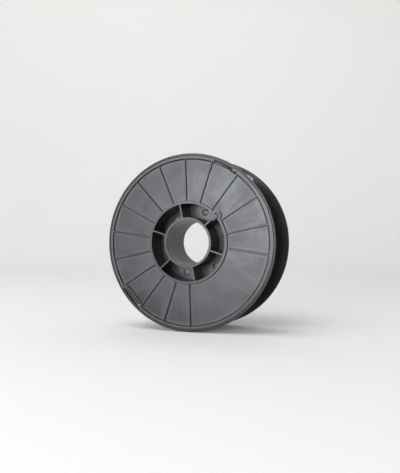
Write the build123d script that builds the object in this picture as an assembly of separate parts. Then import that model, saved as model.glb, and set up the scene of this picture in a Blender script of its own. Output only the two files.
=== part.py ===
from build123d import *
import os
from math import cos, radians, sin

# An empty filament spool: two moulded halves, each a ribbed flange with part of the winding barrel,
# joined web to web by six snap pins, with a thin liner in the bore. Millimetres and degrees.
# Every piece is drawn with the spool's axis along +Z and the front face on top. Depth is measured
# down from a half's own outer face, and angles run counter-clockwise seen from the front.
# place() then turns the axis to lie along Y, with the front face towards -Y and +Z up.

# Driving dimensions of the whole spool
FLANGE_RADIUS = 100.0
WIDTH = 75.0
BORE_RADIUS = 25.5
TUBE_OUTER_RADIUS = 28.3
BARREL_INNER_RADIUS = 43.4
BARREL_OUTER_RADIUS = 46.6

# Flange section: a flat plate with a crowned rim ring, and a rounded lip outside the ring
PLATE_DEPTH = 2.3
PLATE_THICKNESS = 2.0
PLATE_BACK = PLATE_DEPTH + PLATE_THICKNESS
RIM_INNER_RADIUS = 92.8
RIM_SHOULDER_RADIUS = 93.8
RIM_SHOULDER_DEPTH = 0.25
RIM_CREST_RADIUS = 95.6
RIM_CROWN_ROUND = 10.0
RIM_OUTER_RADIUS = 98.2
RIM_EDGE_DEPTH = 0.2
RIM_EDGE_ROUND = 0.3
LIP_FRONT_ROUND = 0.8
LIP_BACK_ROUND = 0.4
EDGE_ROUND = 0.4
INNER_ROUND = 0.5
BARREL_ROUND = 0.8

# Fifteen radial ribs, 20 degrees apart, leaving one plain sector for a label
RIB_COUNT = 15
RIB_PITCH = 20.0
FIRST_RIB_ANGLE = -8.0
RIB_INNER_RADIUS = 45.8
RIB_OUTER_RADIUS = 94.8
RIB_TOP_DEPTH = 0.15
RIB_TOP_WIDTH = 1.6
RIB_BASE_WIDTH = 2.0
RIB_FOOT_WIDTH = 3.4
RIB_FOOT_SINK = 0.05
RIB_BURIED_DEPTH = 0.6
RIB_ROUND = 0.4
RIB_ROOT_ROUND = 0.5

# Hub: six thin spokes between the bore tube and the barrel, and a web where the halves meet
SPOKE_COUNT = 6
SPOKE_PITCH = 360.0 / SPOKE_COUNT
FIRST_SPOKE_ANGLE = 42.0
SPOKE_THICKNESS = 1.5
WEB_THICKNESS = 1.5
FRONT_WEB_DEPTH = 28.0
FRONT_JOINT = FRONT_WEB_DEPTH + WEB_THICKNESS
BACK_JOINT = WIDTH - FRONT_JOINT
BORE_LENGTH = 53.5
BACK_RECESS = WIDTH - BORE_LENGTH
OVERLAP = 0.4

# Register between the barrel ends: a tongue on the front half laps over the back half
TONGUE_RADIUS = 45.0
TONGUE_LENGTH = 2.0
FIT_GAP = 0.05

# Bore liner, pushed in from the back against a shoulder in the front half's tube
LINER_START = 14.0
LINER_SEAT_RADIUS = 26.5
LINER_SEAM_DEPTH = 31.0
LINER_SEAM_WIDTH = 0.6
LINER_SEAM_CUT = 0.15
LINER_EDGE = 0.2
LINER_NOTCH_COUNT = 6
LINER_NOTCH_RADIUS = 0.8
LINER_NOTCH_LENGTH = 4.0

# Snap pins through the two webs, halfway between the spokes
PIN_CIRCLE_RADIUS = 36.6
PIN_SHANK_RADIUS = 2.0
PIN_HEAD_RADIUS = 4.0
PIN_HEAD_EDGE = 0.6
PIN_HEAD_HEIGHT = 1.3
PIN_BARB_RADIUS = 2.45
PIN_TIP_RADIUS = 1.5
PIN_BARB_LENGTH = 3.0
PIN_SPLIT = 0.8
PIN_HOLE_RADIUS = PIN_SHANK_RADIUS + FIT_GAP

# Wide slot in the rim, for the running end of the filament, narrower at the back than at the front,
# with a small loop at one end
WIDE_SLOT_INNER = 92.3
WIDE_SLOT_OUTER = 96.3
WIDE_SLOT_OUTER_AT_BACK = 95.2
WIDE_SLOT_ANGLES = (53.0, 70.6)
LOOP_INNER = 94.4
LOOP_DROP = 0.4
LOOP_ANGLES = (53.7, 56.4)
LOOP_HOLE_INNER = 95.4
LOOP_HOLE_OUTER = 96.1
LOOP_HOLE_ANGLES = (54.4, 55.7)

# Narrow slot on the other side of the rim, behind a thin clip bar in a widened part of the rim
PAD_ANGLES = (212.0, 232.0)
PAD_CHORD = 88.4
PAD_DROP = 0.1
PAD_SAGITTA = 4.0
SLIT_INNER = 93.9
SLIT_OUTER = 95.6
SLIT_ANGLES = (213.6, 230.8)
SLIT_END_INNER = 92.9
SLIT_END_SPAN = 1.3
BAR_INNER = 92.3
BAR_DROP = 0.5
BAR_ANGLES = (214.9, 229.5)
GROOVE_INNER = 91.0
GROOVE_DEPTH = 1.9
POST_CIRCLE_RADIUS = 91.0
POST_ANGLES = (215.2, 230.2)
POST_WELL_RADIUS = 1.9
POST_WELL_DEPTH = 1.0
POST_RADIUS = 1.1

# Notch in the hub ring where the filament's first end goes through the flange plate
NOTCH_ANGLE = 41.0
NOTCH_CIRCLE_RADIUS = 45.6
NOTCH_WALL_RADIUS = 5.2
NOTCH_CAVITY_RADIUS = 3.4
NOTCH_MOUTH_RADIUS = 41.4
NOTCH_CAVITY_DEPTH = 3.2
NOTCH_HOLE_RADIUS = 1.1
NOTCH_HOLE_CIRCLE = 48.2
SHELF_INNER_RADIUS = 38.4
SHELF_OUTER_RADIUS = 45.6
SHELF_WIDTH = 5.2
SHELF_DEPTH = 0.9
SHELF_THICKNESS = 2.2


def corner(sketch, radius_position, depth, fillet_radius):
    """Round the corner of a section that lies at the given radius and depth."""
    target = Vector(radius_position, -depth, 0)
    vertex = min(sketch.vertices(), key=lambda v: (Vector(v.X, v.Y, v.Z) - target).length)
    return fillet(vertex, fillet_radius)


def turned(points):
    """Revolve a closed section about Z. Each point is (radius, depth) or (radius, depth, rounding)."""
    outline = [(point[0], -point[1]) for point in points]
    section = Sketch() + make_face(Polyline(*outline, close=True))
    for point in points:
        if len(point) == 3:
            section = corner(section, *point)
    return revolve(Plane.XZ * section, Axis.Z)


def at(angle):
    """Turn a piece drawn along +X to the given angle about the axis."""
    return Rot(0, 0, angle)


def radial_block(inner, outer, width, top, bottom):
    """A straight block along +X between two radii and two depths."""
    block = Box(outer - inner, width, bottom - top)
    return Pos((inner + outer) / 2, 0, -(top + bottom) / 2) * block


def turned_sector(points, angles):
    """Revolve a closed section of (radius, depth) points about Z, from one angle to another."""
    start, end = angles
    outline = [(radius, -depth) for radius, depth in points]
    section = Plane.XZ * make_face(Polyline(*outline, close=True))
    return at(start) * revolve(section, Axis.Z, end - start)


def ring_sector(inner, outer, angles, top, bottom):
    """A piece of a flat ring between two radii, two angles and two depths."""
    return turned_sector([(inner, top), (outer, top), (outer, bottom), (inner, bottom)], angles)


def post(circle_radius, angle, radius, top, bottom):
    """A cylinder along the axis, centred at the given radius and angle."""
    cylinder = Cylinder(radius, bottom - top)
    x = circle_radius * cos(radians(angle))
    y = circle_radius * sin(radians(angle))
    return Pos(x, y, -(top + bottom) / 2) * cylinder


def shell_section(joint, barrel_end):
    """The section of a flange and its part of the barrel, from the joint round to the joint."""
    return [
        (BARREL_INNER_RADIUS, joint),
        (BARREL_INNER_RADIUS, 0, EDGE_ROUND),
        (BARREL_OUTER_RADIUS, 0, EDGE_ROUND),
        (BARREL_OUTER_RADIUS, PLATE_DEPTH, INNER_ROUND),
        (RIM_INNER_RADIUS, PLATE_DEPTH, INNER_ROUND),
        (RIM_SHOULDER_RADIUS, RIM_SHOULDER_DEPTH, INNER_ROUND),
        (RIM_CREST_RADIUS, 0, RIM_CROWN_ROUND),
        (RIM_OUTER_RADIUS, RIM_EDGE_DEPTH, RIM_EDGE_ROUND),
        (RIM_OUTER_RADIUS, PLATE_DEPTH, RIM_EDGE_ROUND),
        (FLANGE_RADIUS, PLATE_DEPTH, LIP_FRONT_ROUND),
        (FLANGE_RADIUS, PLATE_BACK, LIP_BACK_ROUND),
        (BARREL_OUTER_RADIUS, PLATE_BACK, BARREL_ROUND),
    ] + barrel_end


def rib():
    """One radial rib along +X, rounded on top and filleted at its foot. Its ends lie inside the rings."""
    foot = PLATE_DEPTH + RIB_FOOT_SINK
    right_side = [
        (RIB_TOP_WIDTH / 2, RIB_TOP_DEPTH),
        (RIB_BASE_WIDTH / 2, foot),
        (RIB_FOOT_WIDTH / 2, foot),
        (RIB_FOOT_WIDTH / 2, PLATE_DEPTH + RIB_BURIED_DEPTH),
    ]
    left_side = [(-x, depth) for x, depth in reversed(right_side)]
    outline = [(x, -depth) for x, depth in right_side + left_side]
    section = Sketch() + make_face(Polyline(*outline, close=True))
    for side in (-1, 1):
        section = corner(section, side * RIB_TOP_WIDTH / 2, RIB_TOP_DEPTH, RIB_ROUND)
        section = corner(section, side * RIB_BASE_WIDTH / 2, foot, RIB_ROOT_ROUND)
    start = Plane(origin=(RIB_INNER_RADIUS, 0, 0), x_dir=(0, 1, 0), z_dir=(1, 0, 0))
    return extrude(start * section, RIB_OUTER_RADIUS - RIB_INNER_RADIUS)


def rib_angles():
    return [FIRST_RIB_ANGLE + index * RIB_PITCH for index in range(RIB_COUNT)]


def spoke_angles():
    return [FIRST_SPOKE_ANGLE + index * SPOKE_PITCH for index in range(SPOKE_COUNT)]


def pin_angles():
    return [angle + SPOKE_PITCH / 2 for angle in spoke_angles()]


def web(joint):
    """The flat ring between tube and barrel at the joint, with a hole for each pin."""
    ring = turned([
        (TUBE_OUTER_RADIUS - OVERLAP, joint - WEB_THICKNESS),
        (BARREL_INNER_RADIUS + OVERLAP, joint - WEB_THICKNESS),
        (BARREL_INNER_RADIUS + OVERLAP, joint),
        (TUBE_OUTER_RADIUS - OVERLAP, joint),
    ])
    for angle in pin_angles():
        ring -= post(PIN_CIRCLE_RADIUS, angle, PIN_HOLE_RADIUS, joint - WEB_THICKNESS, joint)
    return ring


def spokes(top, joint):
    """The six spokes, from the given depth down into the web."""
    blade = radial_block(
        TUBE_OUTER_RADIUS - OVERLAP,
        BARREL_INNER_RADIUS + OVERLAP,
        SPOKE_THICKNESS,
        top,
        joint - WEB_THICKNESS / 2,
    )
    return [at(angle) * blade for angle in spoke_angles()]


def cut_wide_slot(half):
    """Open the wide rim slot, with a sloping outer wall, and leave a small loop at one end of it."""
    half -= turned_sector([
        (WIDE_SLOT_INNER, 0),
        (WIDE_SLOT_OUTER, 0),
        (WIDE_SLOT_OUTER_AT_BACK, PLATE_BACK),
        (WIDE_SLOT_INNER, PLATE_BACK),
    ], WIDE_SLOT_ANGLES)
    half += ring_sector(LOOP_INNER, WIDE_SLOT_OUTER + OVERLAP, LOOP_ANGLES, LOOP_DROP, PLATE_BACK)
    half -= ring_sector(LOOP_HOLE_INNER, LOOP_HOLE_OUTER, LOOP_HOLE_ANGLES, 0, PLATE_BACK)
    return half


def clip_pad():
    """The widened part of the rim between two ribs, with a straight inner border."""
    lowest = PAD_CHORD - PAD_SAGITTA
    sector = ring_sector(lowest, RIM_CREST_RADIUS, PAD_ANGLES, PAD_DROP, PLATE_DEPTH + OVERLAP)
    beyond_chord = radial_block(PAD_CHORD, FLANGE_RADIUS, FLANGE_RADIUS, 0, PLATE_BACK)
    middle = sum(PAD_ANGLES) / 2
    return sector & (at(middle) * beyond_chord)


def cut_clip_slot(half):
    """Cut the narrow slot, the groove behind the clip bar and the wells round its two posts."""
    half += clip_pad()
    half -= ring_sector(SLIT_INNER, SLIT_OUTER, SLIT_ANGLES, 0, PLATE_BACK)
    first, last = SLIT_ANGLES
    half -= ring_sector(SLIT_END_INNER, SLIT_OUTER, (first, first + SLIT_END_SPAN), 0, PLATE_BACK)
    half -= ring_sector(SLIT_END_INNER, SLIT_OUTER, (last - SLIT_END_SPAN, last), 0, PLATE_BACK)
    half -= ring_sector(GROOVE_INNER, BAR_INNER, POST_ANGLES, 0, GROOVE_DEPTH)
    half -= ring_sector(BAR_INNER, SLIT_INNER, BAR_ANGLES, 0, BAR_DROP)
    for angle in POST_ANGLES:
        half -= post(POST_CIRCLE_RADIUS, angle, POST_WELL_RADIUS, 0, POST_WELL_DEPTH)
        half += post(POST_CIRCLE_RADIUS, angle, POST_RADIUS, PAD_DROP, PLATE_DEPTH)
    return half


def add_notch(half):
    """Bulge the hub ring outwards round a U-shaped cavity open to the pocket, with the filament's hole."""
    bulge = post(NOTCH_CIRCLE_RADIUS, NOTCH_ANGLE, NOTCH_WALL_RADIUS, 0, PLATE_DEPTH + OVERLAP)
    middle_of_wall = (BARREL_INNER_RADIUS + BARREL_OUTER_RADIUS) / 2
    bulge -= Pos(0, 0, -PLATE_BACK / 2) * Cylinder(middle_of_wall, PLATE_BACK)
    half += bulge
    cavity = post(NOTCH_CIRCLE_RADIUS, NOTCH_ANGLE, NOTCH_CAVITY_RADIUS, 0, NOTCH_CAVITY_DEPTH)
    mouth = radial_block(
        NOTCH_MOUTH_RADIUS,
        NOTCH_CIRCLE_RADIUS,
        NOTCH_CAVITY_RADIUS * 2,
        0,
        NOTCH_CAVITY_DEPTH,
    )
    half -= cavity + at(NOTCH_ANGLE) * mouth
    half -= post(NOTCH_HOLE_CIRCLE, NOTCH_ANGLE, NOTCH_HOLE_RADIUS, 0, PLATE_BACK)
    return half


def shelf():
    """The widened outer end of the spoke at the notch, which the filament's first end bends over."""
    bottom = SHELF_DEPTH + SHELF_THICKNESS
    return radial_block(SHELF_INNER_RADIUS, SHELF_OUTER_RADIUS, SHELF_WIDTH, SHELF_DEPTH, bottom)


def flange_and_barrel(joint, barrel_end):
    """One ribbed flange with its slots and its part of the barrel."""
    half = turned(shell_section(joint, barrel_end))
    half += [at(angle) * rib() for angle in rib_angles()]
    half = cut_wide_slot(half)
    half = cut_clip_slot(half)
    return add_notch(half)


def front_half():
    tongue = [
        (BARREL_OUTER_RADIUS, FRONT_JOINT + TONGUE_LENGTH),
        (TONGUE_RADIUS + FIT_GAP, FRONT_JOINT + TONGUE_LENGTH),
        (TONGUE_RADIUS + FIT_GAP, FRONT_JOINT),
    ]
    tube = turned([
        (BORE_RADIUS, 0, EDGE_ROUND),
        (TUBE_OUTER_RADIUS, 0, EDGE_ROUND),
        (TUBE_OUTER_RADIUS, FRONT_JOINT),
        (LINER_SEAT_RADIUS, FRONT_JOINT),
        (LINER_SEAT_RADIUS, LINER_START),
        (BORE_RADIUS, LINER_START),
    ])
    half = flange_and_barrel(FRONT_JOINT, tongue)
    half += web(FRONT_JOINT)
    half += tube
    half += spokes(0, FRONT_JOINT)
    half += at(FIRST_SPOKE_ANGLE) * shelf()
    return Pos(0, 0, WIDTH / 2) * half


def back_half():
    rebate = [
        (BARREL_OUTER_RADIUS, BACK_JOINT - TONGUE_LENGTH - FIT_GAP),
        (TONGUE_RADIUS - FIT_GAP, BACK_JOINT - TONGUE_LENGTH - FIT_GAP),
        (TONGUE_RADIUS - FIT_GAP, BACK_JOINT),
    ]
    tube = turned([
        (LINER_SEAT_RADIUS, BACK_RECESS, EDGE_ROUND),
        (TUBE_OUTER_RADIUS, BACK_RECESS, EDGE_ROUND),
        (TUBE_OUTER_RADIUS, BACK_JOINT),
        (LINER_SEAT_RADIUS, BACK_JOINT),
    ])
    half = flange_and_barrel(BACK_JOINT, rebate)
    half += web(BACK_JOINT)
    half += tube
    half += spokes(BACK_RECESS, BACK_JOINT)
    return Pos(0, 0, -WIDTH / 2) * mirror(half, about=Plane.XY)


def bore_liner():
    """A thin sleeve with a shallow seam groove inside and small notches in its front edge."""
    outer = LINER_SEAT_RADIUS - FIT_GAP
    seam_end = LINER_SEAM_DEPTH + LINER_SEAM_WIDTH
    sleeve = turned([
        (BORE_RADIUS, LINER_START, LINER_EDGE),
        (outer, LINER_START),
        (outer, BORE_LENGTH),
        (BORE_RADIUS, BORE_LENGTH, LINER_EDGE),
        (BORE_RADIUS, seam_end),
        (BORE_RADIUS + LINER_SEAM_CUT, seam_end),
        (BORE_RADIUS + LINER_SEAM_CUT, LINER_SEAM_DEPTH),
        (BORE_RADIUS, LINER_SEAM_DEPTH),
    ])
    punch = Rot(0, 90, 0) * Cylinder(LINER_NOTCH_RADIUS, LINER_NOTCH_LENGTH)
    punch = Pos(BORE_RADIUS, 0, -LINER_START) * punch
    for index in range(LINER_NOTCH_COUNT):
        sleeve -= at(pin_angles()[0] + index * 360.0 / LINER_NOTCH_COUNT) * punch
    return Pos(0, 0, WIDTH / 2) * sleeve


def joining_pin(angle):
    """A snap pin: domed head on the front web, shank through both webs and a split barbed end."""
    head_base = FRONT_WEB_DEPTH
    crown = (0, -(head_base - PIN_HEAD_HEIGHT))
    brim = (PIN_HEAD_RADIUS, -(head_base - PIN_HEAD_EDGE))
    barb_start = FRONT_JOINT + WEB_THICKNESS + FIT_GAP
    tip = barb_start + PIN_BARB_LENGTH
    dome = TangentArc(crown, brim, tangent=(1, 0))
    below_brim = Polyline(
        brim,
        (PIN_HEAD_RADIUS, -head_base),
        (PIN_SHANK_RADIUS, -head_base),
        (PIN_SHANK_RADIUS, -barb_start),
        (PIN_BARB_RADIUS, -barb_start),
        (PIN_TIP_RADIUS, -tip),
        (0, -tip),
        crown,
    )
    pin = revolve(Plane.XZ * make_face([dome, below_brim]), Axis.Z)
    split = Box(PIN_HEAD_RADIUS * 2, PIN_SPLIT, tip - FRONT_JOINT)
    pin -= Pos(0, 0, -(FRONT_JOINT + tip) / 2) * split
    return Pos(0, 0, WIDTH / 2) * (at(angle) * (Pos(PIN_CIRCLE_RADIUS, 0, 0) * pin))


def place(shape):
    """Turn the spool's axis from +Z to -Y, so that it stands on its rims with its front towards -Y."""
    return Rot(90, 0, 0) * shape


def main():
    pieces = {
        "front_half": front_half(),
        "back_half": back_half(),
        "bore_liner": bore_liner(),
    }
    for number, angle in enumerate(pin_angles(), start=1):
        pieces[f"joining_pin_{number}"] = joining_pin(angle)
    os.makedirs("parts", exist_ok=True)
    for name, shape in pieces.items():
        export_step(place(shape), f"parts/{name}.step")


main()
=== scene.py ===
import math
import bmesh
import bpy
from mathutils import Matrix, Vector


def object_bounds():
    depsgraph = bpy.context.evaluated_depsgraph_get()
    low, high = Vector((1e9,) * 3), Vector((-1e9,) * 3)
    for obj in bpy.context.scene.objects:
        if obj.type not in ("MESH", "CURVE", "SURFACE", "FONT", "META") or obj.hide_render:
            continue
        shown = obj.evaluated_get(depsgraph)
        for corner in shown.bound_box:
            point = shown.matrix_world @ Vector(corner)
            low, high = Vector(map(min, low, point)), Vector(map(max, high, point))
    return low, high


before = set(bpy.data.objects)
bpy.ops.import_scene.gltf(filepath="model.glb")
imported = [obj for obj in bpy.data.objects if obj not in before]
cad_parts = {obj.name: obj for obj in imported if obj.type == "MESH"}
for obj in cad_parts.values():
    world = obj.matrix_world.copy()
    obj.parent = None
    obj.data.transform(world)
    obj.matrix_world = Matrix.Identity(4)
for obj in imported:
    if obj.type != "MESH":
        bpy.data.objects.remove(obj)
CAD_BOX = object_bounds()

# The spool's axis lies along Y, its front face looks towards -Y and it stands on its rims. Metres.
MM = 0.001
LOWEST_CORNER = CAD_BOX[0]
FRONT_Y = LOWEST_CORNER.y
FLOOR_Z = LOWEST_CORNER.z


# ---------------------------------------------------------------- camera

CAMERA_AZIMUTH = 21.6
CAMERA_ELEVATION = 0.17
CAMERA_DISTANCE = 0.6473
CAMERA_PAN = -1.271
CAMERA_TILT = 0.599
CAMERA_LENS = 44.17
SENSOR_WIDTH = 36.0
CLIP_END = 50.0


def make_camera():
    """A camera at hub height to the right of the axis, aimed a little off the front face's centre."""
    azimuth = math.radians(CAMERA_AZIMUTH)
    elevation = math.radians(CAMERA_ELEVATION)
    away = Vector((
        math.sin(azimuth) * math.cos(elevation),
        -math.cos(azimuth) * math.cos(elevation),
        math.sin(elevation),
    ))
    data = bpy.data.cameras.new("camera")
    data.lens = CAMERA_LENS
    data.sensor_width = SENSOR_WIDTH
    data.clip_end = CLIP_END
    camera = bpy.data.objects.new("camera", data)
    bpy.context.scene.collection.objects.link(camera)
    camera.location = Vector((0, FRONT_Y, 0)) + away * CAMERA_DISTANCE
    look = (-away).to_track_quat("-Z", "Y").to_matrix().to_4x4()
    pan = Matrix.Rotation(math.radians(CAMERA_PAN), 4, "Z")
    tilt = Matrix.Rotation(math.radians(CAMERA_TILT), 4, "X")
    camera.matrix_world = Matrix.Translation(camera.location) @ pan @ look @ tilt
    bpy.context.scene.camera = camera


make_camera()


# ---------------------------------------------------------------- stage and light

BOWL_RADIUS = 2.2
BOWL_CURVE = 0.9
BOWL_TOP = 3.2
BOWL_SIDES = 96
BOWL_FLOOR_STEPS = 6
BOWL_CURVE_STEPS = 16
PAPER_COLOUR = (0.86, 0.855, 0.84, 1)
PAPER_ROUGHNESS = 0.95
PAPER_SPECULAR = 0.1


def bowl_outline():
    """Radius and height of the backdrop's section: flat floor, round sweep and upright wall."""
    flat_end = BOWL_RADIUS - BOWL_CURVE
    outline = [(flat_end * step / BOWL_FLOOR_STEPS, 0.0) for step in range(1, BOWL_FLOOR_STEPS)]
    for step in range(BOWL_CURVE_STEPS + 1):
        angle = math.pi / 2 * step / BOWL_CURVE_STEPS
        outline.append((flat_end + BOWL_CURVE * math.sin(angle), BOWL_CURVE * (1 - math.cos(angle))))
    outline.append((BOWL_RADIUS, BOWL_TOP))
    return outline


def make_backdrop():
    """A round seamless backdrop that rises on every side of the spool."""
    mesh = bmesh.new()
    centre = mesh.verts.new((0, 0, FLOOR_Z))
    rings = []
    for radius, height in bowl_outline():
        ring = []
        for side in range(BOWL_SIDES):
            angle = 2 * math.pi * side / BOWL_SIDES
            ring.append(mesh.verts.new(
                (radius * math.cos(angle), radius * math.sin(angle), FLOOR_Z + height)))
        rings.append(ring)
    for side in range(BOWL_SIDES):
        following = (side + 1) % BOWL_SIDES
        mesh.faces.new((centre, rings[0][side], rings[0][following]))
        for inner, outer in zip(rings, rings[1:]):
            mesh.faces.new((inner[side], outer[side], outer[following], inner[following]))
    data = bpy.data.meshes.new("backdrop")
    mesh.to_mesh(data)
    mesh.free()
    for face in data.polygons:
        face.use_smooth = True
    backdrop = bpy.data.objects.new("backdrop", data)
    bpy.context.scene.collection.objects.link(backdrop)
    data.materials.append(backdrop_material())


def backdrop_material():
    material = bpy.data.materials.new("backdrop_paper")
    material.use_nodes = True
    shader = material.node_tree.nodes["Principled BSDF"]
    shader.inputs["Base Color"].default_value = PAPER_COLOUR
    shader.inputs["Roughness"].default_value = PAPER_ROUGHNESS
    shader.inputs["Specular IOR Level"].default_value = PAPER_SPECULAR
    return material


def area_light(name, position, target, width, height, power, colour=(1, 1, 1)):
    """A rectangular softbox that faces the target and that the camera doesn't see."""
    data = bpy.data.lights.new(name, "AREA")
    data.shape = "RECTANGLE"
    data.size = width
    data.size_y = height
    data.energy = power
    data.color = colour
    light = bpy.data.objects.new(name, data)
    bpy.context.scene.collection.objects.link(light)
    light.location = position
    aim = Vector(target) - Vector(position)
    light.rotation_mode = "QUATERNION"
    light.rotation_quaternion = aim.to_track_quat("-Z", "Y")
    light.visible_camera = False


COOL_WHITE = (0.92, 0.955, 1.0)
ROOM_COLOUR = (0.95, 0.97, 1.0, 1)
ROOM_STRENGTH = 0.25


def make_lights():
    """One softbox for the sheen, one for the floor, a weak one overhead and one for the backdrop."""
    area_light("sheen_softbox", position=(-0.14, -1.45, 0.14), target=(0, 0, 0),
               width=0.95, height=0.44, power=14.5, colour=COOL_WHITE)
    area_light("floor_softbox", position=(-0.4, -0.85, 1.6), target=(0, -0.5, -0.1),
               width=1.5, height=1.2, power=19)
    area_light("top_softbox", position=(0.3, 0.6, 1.8), target=(0, 0.2, 0),
               width=1.4, height=1.4, power=1.0)
    area_light("backdrop_softbox", position=(-0.5, 0.75, 1.7), target=(-0.8, 2.2, 0.2),
               width=1.2, height=0.5, power=8)
    world = bpy.data.worlds.new("studio")
    world.use_nodes = True
    background = world.node_tree.nodes["Background"]
    background.inputs["Color"].default_value = ROOM_COLOUR
    background.inputs["Strength"].default_value = ROOM_STRENGTH
    bpy.context.scene.world = world


make_backdrop()
make_lights()


# ---------------------------------------------------------------- node helpers

# Sockets of a Mix node that mixes colours
MIX_FACTOR = 0
MIX_FIRST = 6
MIX_SECOND = 7
MIX_RESULT = 2

# Most of a noise's values lie between these two
NOISE_LOW = 0.3
NOISE_HIGH = 0.7


def link(tree, source, target):
    tree.links.new(source, target)


def feed(tree, socket, value):
    """Give a socket a number or a colour, or link another node's output to it."""
    if isinstance(value, (int, float, tuple)):
        socket.default_value = value
    else:
        link(tree, value, socket)


def new_material(name):
    material = bpy.data.materials.new(name)
    material.use_nodes = True
    return material, material.node_tree, material.node_tree.nodes["Principled BSDF"]


def noise(tree, vector, scale, detail, roughness):
    node = tree.nodes.new("ShaderNodeTexNoise")
    node.inputs["Scale"].default_value = scale
    node.inputs["Detail"].default_value = detail
    node.inputs["Roughness"].default_value = roughness
    link(tree, vector, node.inputs["Vector"])
    return node.outputs["Fac"]


def remap(tree, value, low, high, from_low=NOISE_LOW, from_high=NOISE_HIGH):
    """Turn a range of values into low to high, and hold what lies outside it at those ends."""
    node = tree.nodes.new("ShaderNodeMapRange")
    node.inputs["From Min"].default_value = from_low
    node.inputs["From Max"].default_value = from_high
    node.inputs["To Min"].default_value = low
    node.inputs["To Max"].default_value = high
    link(tree, value, node.inputs["Value"])
    return node.outputs["Result"]


def mix_colours(tree, factor, first, second):
    """Mix two colours by a factor output. Each colour is fixed or another node's output."""
    node = tree.nodes.new("ShaderNodeMix")
    node.data_type = "RGBA"
    link(tree, factor, node.inputs[MIX_FACTOR])
    feed(tree, node.inputs[MIX_FIRST], first)
    feed(tree, node.inputs[MIX_SECOND], second)
    return node.outputs[MIX_RESULT]


def bump(tree, shader, height, strength, distance, previous=None):
    """Give the shader a bump, on top of a previous one where there is one."""
    node = tree.nodes.new("ShaderNodeBump")
    node.inputs["Strength"].default_value = strength
    node.inputs["Distance"].default_value = distance
    link(tree, height, node.inputs["Height"])
    if previous is not None:
        link(tree, previous, node.inputs["Normal"])
    link(tree, node.outputs["Normal"], shader.inputs["Normal"])
    return node.outputs["Normal"]


def calculate(tree, operation, first, second=0.0):
    """One math node. Each operand is a number or another node's output."""
    node = tree.nodes.new("ShaderNodeMath")
    node.operation = operation
    for socket, value in zip(node.inputs, (first, second)):
        feed(tree, socket, value)
    return node.outputs[0]


def combine(tree, x, y, z):
    """A vector. Each part is a number or another node's output."""
    node = tree.nodes.new("ShaderNodeCombineXYZ")
    for socket, value in zip(node.inputs, (x, y, z)):
        feed(tree, socket, value)
    return node.outputs[0]


def between(tree, value, low, high, soft):
    """1 where the value lies between low and high, fading to 0 over the given softness outside."""
    rising = remap(tree, value, 0.0, 1.0, low - soft, low)
    falling = remap(tree, value, 1.0, 0.0, high, high + soft)
    return calculate(tree, "MULTIPLY", rising, falling)


def weighted_sum(tree, first, second, share):
    """Two outputs added, the first by its share of 1 and the second by the rest."""
    return calculate(tree, "ADD", calculate(tree, "MULTIPLY", first, share),
                     calculate(tree, "MULTIPLY", second, 1 - share))


class Place:
    """Where a point lies on the spool: position, radius, angle, and distance along the axis."""

    def __init__(self, tree):
        self.point = tree.nodes.new("ShaderNodeTexCoord").outputs["Object"]
        parts = tree.nodes.new("ShaderNodeSeparateXYZ")
        link(tree, self.point, parts.inputs[0])
        x, self.along, z = parts.outputs
        self.radius = calculate(tree, "SQRT", calculate(
            tree, "ADD", calculate(tree, "MULTIPLY", x, x), calculate(tree, "MULTIPLY", z, z)))
        self.angle = calculate(tree, "ARCTAN2", z, x)
        self.height = calculate(tree, "ABSOLUTE", self.along)


# ---------------------------------------------------------------- masks

# Heights of the plates and the webs above the spool's middle, and the radii they lie between
PLATE_HEIGHTS = (34.9 * MM, 35.4 * MM)
PLATE_RADII = (47.0 * MM, 92.6 * MM)
WEB_HEIGHTS = (6.0 * MM, 9.7 * MM)
WEB_RADII = (28.5 * MM, 43.3 * MM)
MASK_SOFTNESS = 0.3 * MM

RIB_PITCH = math.radians(20.0)
FIRST_RIB_ANGLE = math.radians(-8.0)
RIB_FOOT = 1.5 * MM
BORDER_WIDTH = 1.6 * MM

# The label sector, where flow_and_sheen_border_mask draws no borders beside ribs
LABEL_SECTOR = (math.radians(-85.0), math.radians(-11.0))
LABEL_SOFTNESS = math.radians(1.0)

EJECTOR_CIRCLES = (57.0 * MM, 82.0 * MM)
EJECTOR_RADIUS = 2.6 * MM
EJECTOR_SOFTNESS = 0.1 * MM

# Worn edges: how wide a rounding they are found by, and the agreement with the true normal
# at which wear is full and at which there is none
WEAR_RADIUS = 0.6 * MM
PIN_WEAR_RADIUS = 0.3 * MM
WEAR_SAMPLES = 4
WEAR_AGREEMENT = (0.80, 0.99)
WEAR_PATCH_RANGE = (0.42, 0.68)

# Noises: scale, detail and roughness
WEAR_PATCHES = (140.0, 4.0, 0.7)
CLOUDS = (26.0, 5.0, 0.62)
STREAKS = (5.0, 4.0, 0.6)
SMUDGES = (95.0, 5.0, 0.68)
WAVES = (42.0, 1.5, 0.45)
GRAIN = (2200.0, 2.0, 0.5)
LINER_LINES = (520.0, 4.0, 0.7)
LINER_CLOUDS = (60.0, 3.0, 0.5)
PIN_CLOUDS = (160.0, 4.0, 0.5)


def etched_masks(tree, place):
    """Two masks: the outer faces of the flange plates, and those together with the webs' faces."""
    plate = calculate(
        tree, "MULTIPLY",
        between(tree, place.height, *PLATE_HEIGHTS, MASK_SOFTNESS),
        between(tree, place.radius, *PLATE_RADII, MASK_SOFTNESS))
    web = calculate(
        tree, "MULTIPLY",
        between(tree, place.height, *WEB_HEIGHTS, MASK_SOFTNESS),
        between(tree, place.radius, *WEB_RADII, MASK_SOFTNESS))
    return plate, calculate(tree, "MAXIMUM", plate, web)


def sector_offset(tree, place, first):
    """The angle from the nearest of a set of radii, RIB_PITCH apart."""
    turned = calculate(tree, "SUBTRACT", place.angle, first - RIB_PITCH / 2)
    wrapped = calculate(tree, "FLOORED_MODULO", turned, RIB_PITCH)
    return calculate(tree, "SUBTRACT", wrapped, RIB_PITCH / 2)


# Painted sheen: this band is partly flow marks and partly a painted highlight beside ribs and rings.
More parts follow.
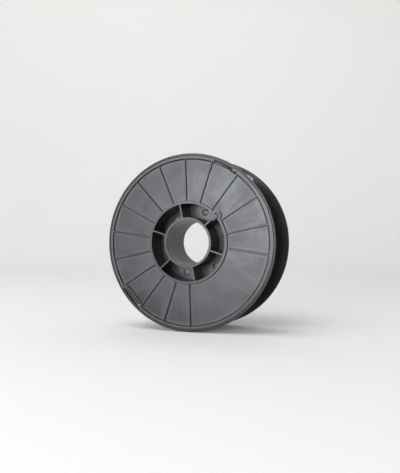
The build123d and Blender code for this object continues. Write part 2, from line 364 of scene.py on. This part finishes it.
def flow_and_sheen_border_mask(tree, place):
    """A narrow band beside each rib, the rim ring and the hub ring, painted lighter: partly flow marks,
    partly a painted sheen that stands in for light caught by the sloping plate there.
    """
    sideways = calculate(tree, "ABSOLUTE", calculate(
        tree, "MULTIPLY", place.radius, calculate(
            tree, "SINE", sector_offset(tree, place, FIRST_RIB_ANGLE))))
    beside_rib = between(tree, sideways, RIB_FOOT, RIB_FOOT + BORDER_WIDTH / 2, BORDER_WIDTH)
    label = between(tree, place.angle, *LABEL_SECTOR, LABEL_SOFTNESS)
    beside_rib = calculate(tree, "MULTIPLY", beside_rib, calculate(tree, "SUBTRACT", 1.0, label))
    below_rim = between(
        tree, place.radius, PLATE_RADII[1] - BORDER_WIDTH, PLATE_RADII[1], BORDER_WIDTH)
    above_hub = between(
        tree, place.radius, PLATE_RADII[0], PLATE_RADII[0] + BORDER_WIDTH, BORDER_WIDTH)
    return calculate(tree, "MAXIMUM", beside_rib, calculate(tree, "MAXIMUM", below_rim, above_hub))


def ejector_marks(tree, place):
    """Height of the faint round ejector marks, two in the middle of each sector between ribs."""
    offset = sector_offset(tree, place, FIRST_RIB_ANGLE + RIB_PITCH / 2)
    outward = calculate(tree, "MULTIPLY", place.radius, calculate(tree, "COSINE", offset))
    sideways = calculate(tree, "MULTIPLY", place.radius, calculate(tree, "SINE", offset))
    marks = 0.0
    for circle in EJECTOR_CIRCLES:
        away = calculate(tree, "SUBTRACT", outward, circle)
        distance = calculate(tree, "SQRT", calculate(
            tree, "ADD", calculate(tree, "MULTIPLY", away, away),
            calculate(tree, "MULTIPLY", sideways, sideways)))
        mark = remap(tree, distance, 1.0, 0.0,
                     EJECTOR_RADIUS - EJECTOR_SOFTNESS, EJECTOR_RADIUS + EJECTOR_SOFTNESS)
        marks = calculate(tree, "MAXIMUM", marks, mark)
    return marks


def edge_wear(tree, place, radius):
    """Worn edges: where a widely rounded normal differs from the true one, broken up by noise."""
    rounded = tree.nodes.new("ShaderNodeBevel")
    rounded.samples = WEAR_SAMPLES
    rounded.inputs["Radius"].default_value = radius
    true_normal = tree.nodes.new("ShaderNodeNewGeometry").outputs["Normal"]
    agreement = tree.nodes.new("ShaderNodeVectorMath")
    agreement.operation = "DOT_PRODUCT"
    link(tree, rounded.outputs["Normal"], agreement.inputs[0])
    link(tree, true_normal, agreement.inputs[1])
    edges = remap(tree, agreement.outputs["Value"], 1.0, 0.0, *WEAR_AGREEMENT)
    patches = remap(tree, noise(tree, place.point, *WEAR_PATCHES), 0.0, 1.0, *WEAR_PATCH_RANGE)
    return calculate(tree, "MULTIPLY", edges, patches)


# ---------------------------------------------------------------- materials

# The smooth colour, darker than the etched one, also covers the flanges' inner faces, where it is
# painted shade for the gap between the flanges.
SMOOTH_AND_SHADE_DARK = (0.0045, 0.0046, 0.005, 1)
SMOOTH_AND_SHADE_LIGHT = (0.009, 0.0093, 0.0102, 1)
ETCHED_DARK = (0.005, 0.0054, 0.0066, 1)
ETCHED_LIGHT = (0.032, 0.0342, 0.040, 1)
# Colour of the band beside ribs and rings: partly flow marks, partly painted sheen.
FLOW_AND_SHEEN_COLOUR = (0.062, 0.065, 0.071, 1)
# Colour of worn edges, also the light end of the pins' colour, where it is partly painted sheen.
WEAR_AND_PIN_SHEEN_COLOUR = (0.10, 0.101, 0.104, 1)
LINER_DARK = (0.010, 0.0078, 0.0064, 1)
LINER_LIGHT = (0.030, 0.0245, 0.0205, 1)

SMOOTH_ROUGHNESS = (0.30, 0.38)
ETCHED_ROUGHNESS = (0.28, 0.46)
LINER_ROUGHNESS = (0.34, 0.46)
PIN_ROUGHNESS = (0.34, 0.44)
PLASTIC_IOR = 1.55

# The flow marks: clouds and streaks, with finer smudges added. Each gives this much of the
# change from dark to light, over this range of its noise.
CLOUD_SHARE = 0.65
STREAK_ANGLE_SCALE = 9.0
STREAK_RADIUS_SCALE = 7.0
FLOW_AMOUNT = 0.8
FLOW_RANGE = (0.42, 0.60)
SMUDGE_AMOUNT = 0.2
SMUDGE_RANGE = (0.40, 0.62)
# How strongly the clouds show in the band beside ribs and rings, which is partly painted sheen.
FLOW_AND_SHEEN_STRENGTH = (0.15, 0.75)

# The liner's lines hardly change round the bore
LINE_SHARE = 0.7
LINE_ANGLE_SCALE = 0.002
LINER_TONE_RANGE = (0.38, 0.62)

# Bumps: strength and height
GRAIN_BUMP = (0.16, 0.04 * MM)
WAVE_BUMP = (0.5, 1.0 * MM)
EJECTOR_BUMP = (0.12, 0.04 * MM)
LINER_BUMP = (0.35, 0.06 * MM)
PIN_BUMP = (0.14, 0.04 * MM)


def spool_plastic():
    """Black moulded plastic: smooth rings, ribs and walls, and etched flats with cloudy flow marks. The
    darker smooth colour on the flanges' inner faces is painted shade for the gap between the flanges.
    """
    material, tree, shader = new_material("spool_plastic")
    place = Place(tree)
    plate, etched = etched_masks(tree, place)

    clouds = noise(tree, place.point, *CLOUDS)
    streaks = noise(tree, combine(
        tree, calculate(tree, "MULTIPLY", place.angle, STREAK_ANGLE_SCALE),
        calculate(tree, "MULTIPLY", place.radius, STREAK_RADIUS_SCALE), place.along), *STREAKS)
    smudges = noise(tree, place.point, *SMUDGES)
    flow = remap(tree, weighted_sum(tree, clouds, streaks, CLOUD_SHARE), 0.0, FLOW_AMOUNT, *FLOW_RANGE)
    flow = calculate(tree, "ADD", flow, remap(tree, smudges, 0.0, SMUDGE_AMOUNT, *SMUDGE_RANGE))

    smooth_and_shade_colour = mix_colours(tree, flow, SMOOTH_AND_SHADE_DARK, SMOOTH_AND_SHADE_LIGHT)
    etched_colour = mix_colours(tree, flow, ETCHED_DARK, ETCHED_LIGHT)
    # Painted sheen: a lighter band beside ribs and rings, partly flow marks and partly a painted
    # highlight.
    border = calculate(tree, "MULTIPLY", flow_and_sheen_border_mask(tree, place), plate)
    border = calculate(tree, "MULTIPLY", border, remap(tree, clouds, *FLOW_AND_SHEEN_STRENGTH))
    etched_colour = mix_colours(tree, border, etched_colour, FLOW_AND_SHEEN_COLOUR)
    # Painted shade: the flanges' inner faces get the darker smooth colour, standing in for the shade
    # between the flanges.
    colour = mix_colours(tree, etched, smooth_and_shade_colour, etched_colour)
    colour = mix_colours(tree, edge_wear(tree, place, WEAR_RADIUS), colour, WEAR_AND_PIN_SHEEN_COLOUR)
    link(tree, colour, shader.inputs["Base Color"])

    smooth_roughness = remap(tree, clouds, *SMOOTH_ROUGHNESS)
    etched_roughness = remap(tree, flow, *ETCHED_ROUGHNESS, 0.0, 1.0)
    roughness = calculate(tree, "ADD", smooth_roughness, calculate(
        tree, "MULTIPLY", etched, calculate(tree, "SUBTRACT", etched_roughness, smooth_roughness)))
    link(tree, roughness, shader.inputs["Roughness"])
    shader.inputs["IOR"].default_value = PLASTIC_IOR

    fine = bump(tree, shader, noise(tree, place.point, *GRAIN), *GRAIN_BUMP)
    waves = calculate(tree, "MULTIPLY", noise(tree, place.point, *WAVES), etched)
    soft = bump(tree, shader, waves, *WAVE_BUMP, fine)
    marks = calculate(tree, "MULTIPLY", ejector_marks(tree, place), plate)
    bump(tree, shader, marks, *EJECTOR_BUMP, soft)
    return material


def liner_plastic():
    """Dark brown-grey sleeve with many fine lines round it, lighter and darker."""
    material, tree, shader = new_material("liner_plastic")
    place = Place(tree)
    lines = noise(tree, combine(
        tree, calculate(tree, "MULTIPLY", place.angle, LINE_ANGLE_SCALE), place.along, 0.0),
        *LINER_LINES)
    clouds = noise(tree, place.point, *LINER_CLOUDS)
    tone = weighted_sum(tree, lines, clouds, LINE_SHARE)
    tone = remap(tree, tone, 0.0, 1.0, *LINER_TONE_RANGE)
    link(tree, mix_colours(tree, tone, LINER_DARK, LINER_LIGHT), shader.inputs["Base Color"])
    link(tree, remap(tree, clouds, *LINER_ROUGHNESS), shader.inputs["Roughness"])
    bump(tree, shader, lines, *LINER_BUMP)
    return material


def pin_plastic():
    """Black moulded plastic with worn edges, lighter than the web round it; the lighter colour is partly
    a painted sheen that stands in for light caught by the pin heads.
    """
    material, tree, shader = new_material("pin_plastic")
    place = Place(tree)
    clouds = noise(tree, place.point, *PIN_CLOUDS)
    # Painted sheen: the pins' colour is lightened towards the worn colour, standing in for light caught
    # by the pin heads.
    colour = mix_colours(tree, remap(tree, clouds, 0.0, 1.0), ETCHED_LIGHT, WEAR_AND_PIN_SHEEN_COLOUR)
    colour = mix_colours(tree, edge_wear(tree, place, PIN_WEAR_RADIUS), colour, WEAR_AND_PIN_SHEEN_COLOUR)
    link(tree, colour, shader.inputs["Base Color"])
    link(tree, remap(tree, clouds, *PIN_ROUGHNESS), shader.inputs["Roughness"])
    shader.inputs["IOR"].default_value = PLASTIC_IOR
    bump(tree, shader, noise(tree, place.point, *GRAIN), *PIN_BUMP)
    return material


def dress(node_name, material):
    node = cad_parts[node_name]
    node.data.materials.clear()
    node.data.materials.append(material)


def dress_spool():
    spool = spool_plastic()
    pins = pin_plastic()
    dress("front_half", spool)
    dress("back_half", spool)
    dress("bore_liner", liner_plastic())
    for name in sorted(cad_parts):
        if name.startswith("joining_pin"):
            dress(name, pins)


dress_spool()
bpy.context.scene.view_settings.view_transform = "Standard"
